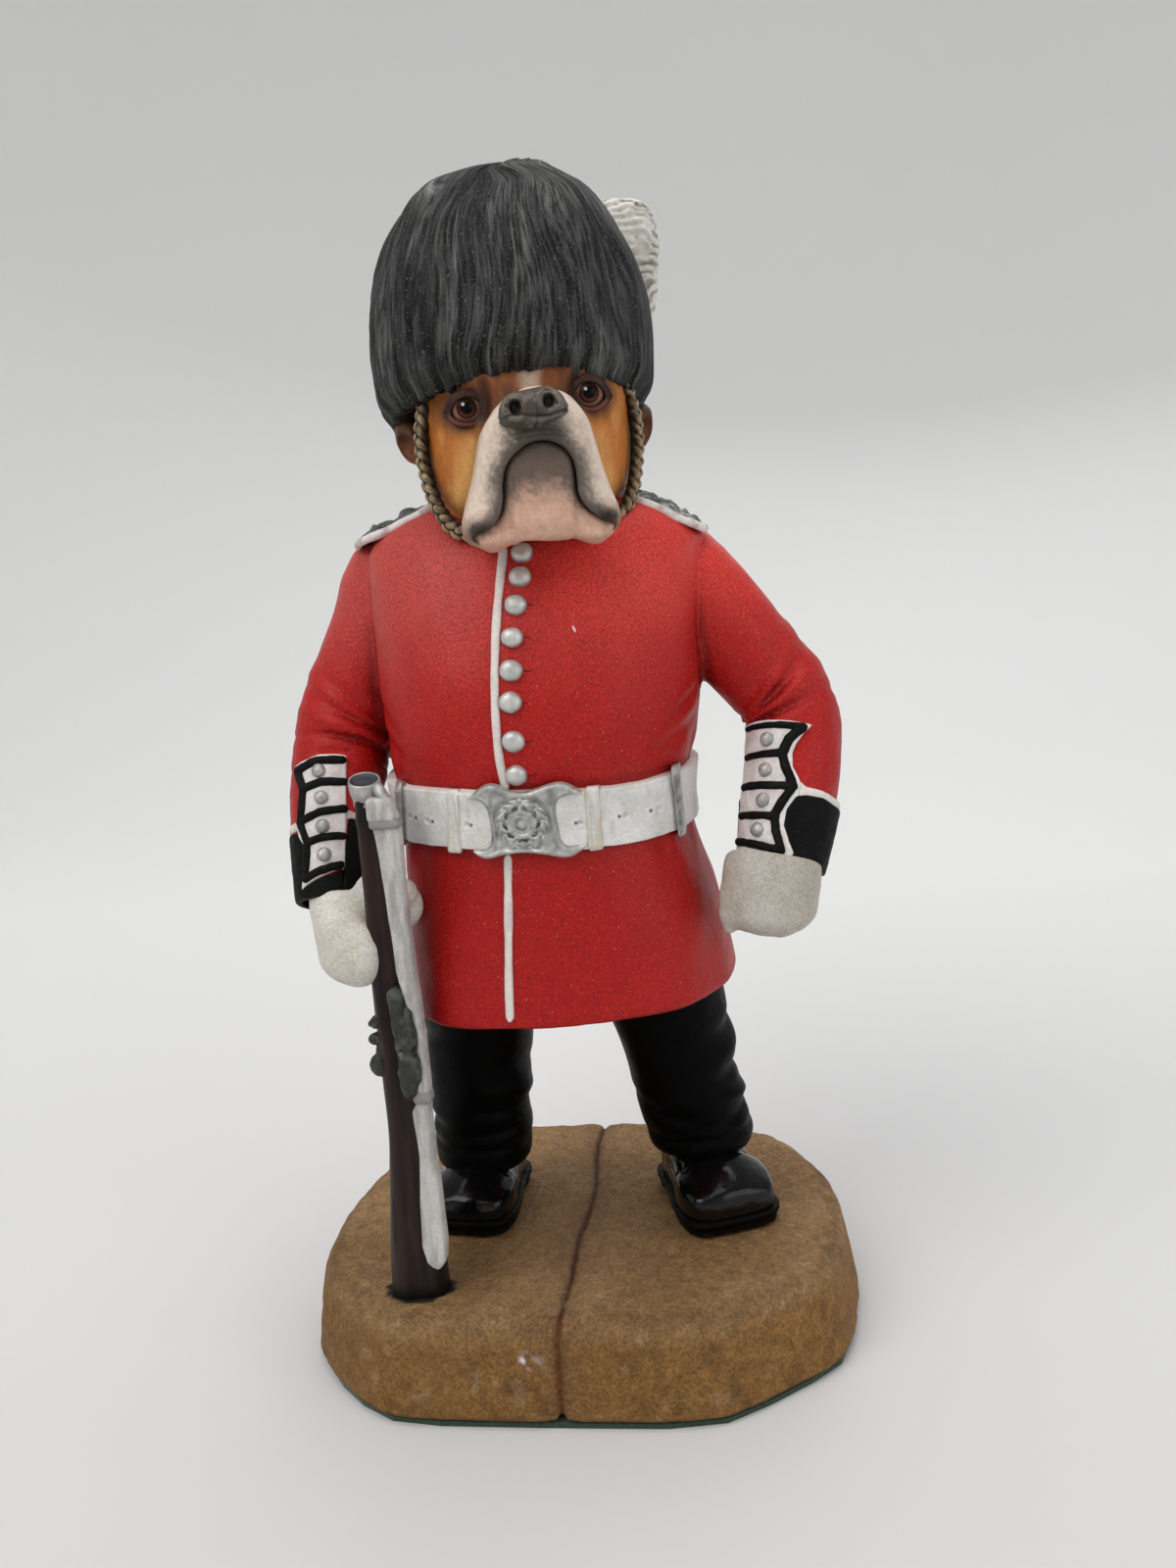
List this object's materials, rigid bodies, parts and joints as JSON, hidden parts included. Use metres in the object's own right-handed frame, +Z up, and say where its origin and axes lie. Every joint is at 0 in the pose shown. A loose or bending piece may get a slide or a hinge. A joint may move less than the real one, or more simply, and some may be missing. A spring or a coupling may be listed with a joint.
{
  "type": "dog figurine",
  "caption": "Painted resin figurine of a flat-faced dog in a ceremonial guard's dress, standing with a rifle on a paving-stone base, felt underneath.",
  "frame": {"origin": "middle of the felt underside, on the surface the figurine stands on", "axes": "+Z up, the dog looks along -Y, its left arm is at +X"},
  "size_m": [0.0788, 0.0636, 0.1589],
  "materials": {
    "felt_green": "dense short felt glued under the base",
    "stone_paint": "ochre stone paint on grained resin",
    "boot_black": "gloss black paint on resin",
    "trouser_black": "satin black paint on resin",
    "tunic_red": "matte red paint on finely grained resin",
    "white_paint": "off-white paint with a grey wash on resin",
    "glove_white": "off-white paint on resin",
    "silver_paint": "silver paint with a dark wash on resin",
    "cuff_black": "satin black paint on resin",
    "strap_grey": "dark grey paint dry-brushed with silver on resin",
    "fur_tan": "sprayed tan and brown paint on resin",
    "muzzle_white": "sprayed white paint on resin",
    "jaw_pink": "sprayed pinkish paint on resin",
    "nose_black": "satin black paint on resin",
    "eye_brown": "gloss dark brown paint on resin",
    "bearskin": "black paint dry-brushed with grey over sculpted hair",
    "plume_white": "off-white paint over sculpted bristles",
    "chain_brass": "khaki-gold paint with a black wash on resin",
    "stock_brown": "dark brown paint on resin",
    "rifle_grey": "dark gunmetal paint on resin"
  },
  "bodies": {
    "root": {"felt_pad": "felt_green", "base_block": "stone_paint", "right_boot_sole": "boot_black", "left_boot_sole": "boot_black", "right_boot_upper": "boot_black", "left_boot_upper": "boot_black", "right_trouser_leg": "trouser_black", "left_trouser_leg": "trouser_black", "tunic_body": "tunic_red", "right_sleeve": "tunic_red", "left_sleeve": "tunic_red", "belt": "white_paint", "belt_slide_right": "white_paint", "belt_slide_left": "white_paint", "front_piping_upper": "white_paint", "front_piping_lower": "white_paint", "rifle_sling": "white_paint", "right_cuff_flash": "white_paint", "left_cuff_flash": "white_paint", "right_glove": "glove_white", "left_glove": "glove_white", "belt_buckle": "silver_paint", "buckle_rosette": "silver_paint", "belt_keeper_right": "silver_paint", "belt_keeper_left": "silver_paint", "rifle_nose_cap": "silver_paint", "front_button_1": "silver_paint", "front_button_2": "silver_paint", "front_button_3": "silver_paint", "front_button_4": "silver_paint", "front_button_5": "silver_paint", "front_button_6": "silver_paint", "front_button_7": "silver_paint", "front_button_8": "silver_paint", "right_cuff_button_1": "silver_paint", "right_cuff_button_2": "silver_paint", "right_cuff_button_3": "silver_paint", "right_cuff_button_4": "silver_paint", "left_cuff_button_1": "silver_paint", "left_cuff_button_2": "silver_paint", "left_cuff_button_3": "silver_paint", "left_cuff_button_4": "silver_paint", "right_cuff": "cuff_black", "left_cuff": "cuff_black", "collar": "cuff_black", "right_shoulder_strap": "strap_grey", "left_shoulder_strap": "strap_grey", "head": "fur_tan", "right_ear": "fur_tan", "left_ear": "fur_tan", "muzzle": "muzzle_white", "lower_jaw": "jaw_pink", "nose": "nose_black", "right_eye": "eye_brown", "left_eye": "eye_brown", "bearskin_cap": "bearskin", "plume": "plume_white", "chin_chain": "chain_brass", "rifle_stock": "stock_brown", "rifle_receiver": "rifle_grey"}
  },
  "joints": []
}
